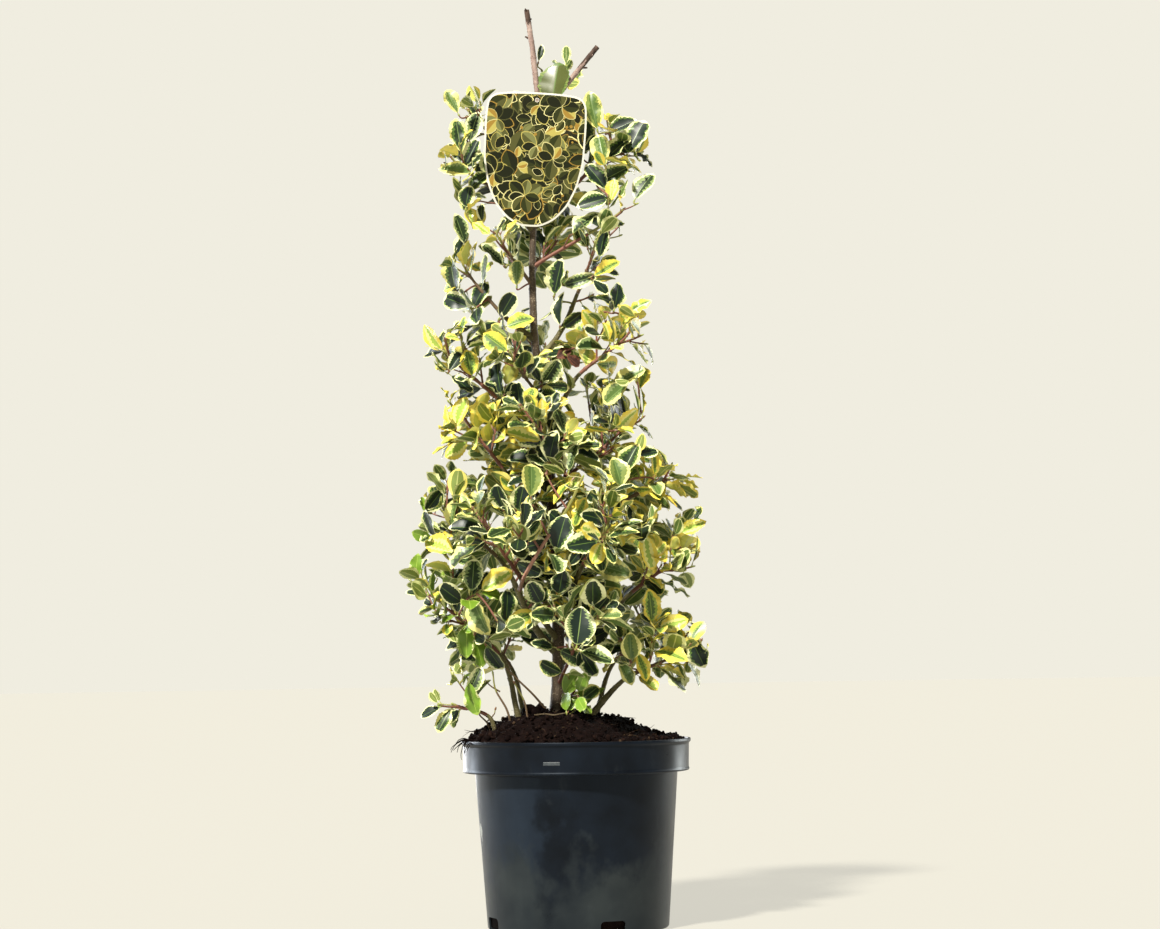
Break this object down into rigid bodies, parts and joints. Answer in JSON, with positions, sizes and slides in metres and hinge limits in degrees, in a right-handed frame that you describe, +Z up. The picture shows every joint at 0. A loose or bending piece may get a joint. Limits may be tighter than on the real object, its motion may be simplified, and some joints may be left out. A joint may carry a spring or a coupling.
{
  "type": "potted holly shrub",
  "caption": "Young upright variegated holly shrub, green leaves edged in gold on thin boughs, standing in a round dark plastic nursery pot of compost with a hanging label.",
  "frame": {"origin": "centre of the pot's flat underside", "axes": "+Z up along the trunk, -Y towards the front, the side that the label hangs on, +X to the right seen from the front"},
  "size_m": [0.4103, 0.3419, 1.1494],
  "materials": {
    "pot": "satin dark slate plastic",
    "compost": "moist dark brown peat and bark, crumbly",
    "bark": "smooth grey-brown bark with small pores",
    "young_bark": "smooth green-brown young bark",
    "foliage": "glossy green leaves with golden margins",
    "label": "thin printed card with a white border"
  },
  "bodies": {
    "root": {"pot": "pot", "soil": "compost", "trunk": "bark", "spur": "bark", "bough_back_left": "young_bark", "bough_back_right": "young_bark", "bough_crown_left": "young_bark", "bough_crown_right": "young_bark", "bough_front_left": "young_bark", "bough_front_right": "young_bark", "bough_high_left": "young_bark", "bough_high_right": "young_bark", "bough_left": "young_bark", "bough_low_back_left": "young_bark", "bough_low_back_right": "young_bark", "bough_low_left": "young_bark", "bough_low_right": "young_bark", "bough_mid_back_left": "young_bark", "bough_mid_back_right": "young_bark", "bough_mid_left": "young_bark", "bough_mid_right": "young_bark", "bough_right": "young_bark", "bough_sucker": "young_bark", "bough_upper_left": "young_bark", "bough_upper_right": "young_bark", "spray_back_left": "foliage", "spray_back_right": "foliage", "spray_crown_back": "foliage", "spray_crown_left": "foliage", "spray_crown_left_up": "foliage", "spray_crown_right": "foliage", "spray_crown_right_low": "foliage", "spray_crown_top": "foliage", "spray_foot_shoot": "foliage", "spray_front_left": "foliage", "spray_front_right": "foliage", "spray_high_back": "foliage", "spray_high_left": "foliage", "spray_high_left_up": "foliage", "spray_high_right": "foliage", "spray_left": "foliage", "spray_low_back_left": "foliage", "spray_low_back_right": "foliage", "spray_low_front": "foliage", "spray_low_left": "foliage", "spray_low_right": "foliage", "spray_mid_back_left": "foliage", "spray_mid_back_right": "foliage", "spray_mid_front": "foliage", "spray_mid_left": "foliage", "spray_mid_right": "foliage", "spray_mid_right_up": "foliage", "spray_right": "foliage", "spray_sucker": "foliage", "spray_upper_back": "foliage", "spray_upper_front": "foliage", "spray_upper_left": "foliage", "spray_upper_right": "foliage", "label": "label"}
  },
  "joints": []
}
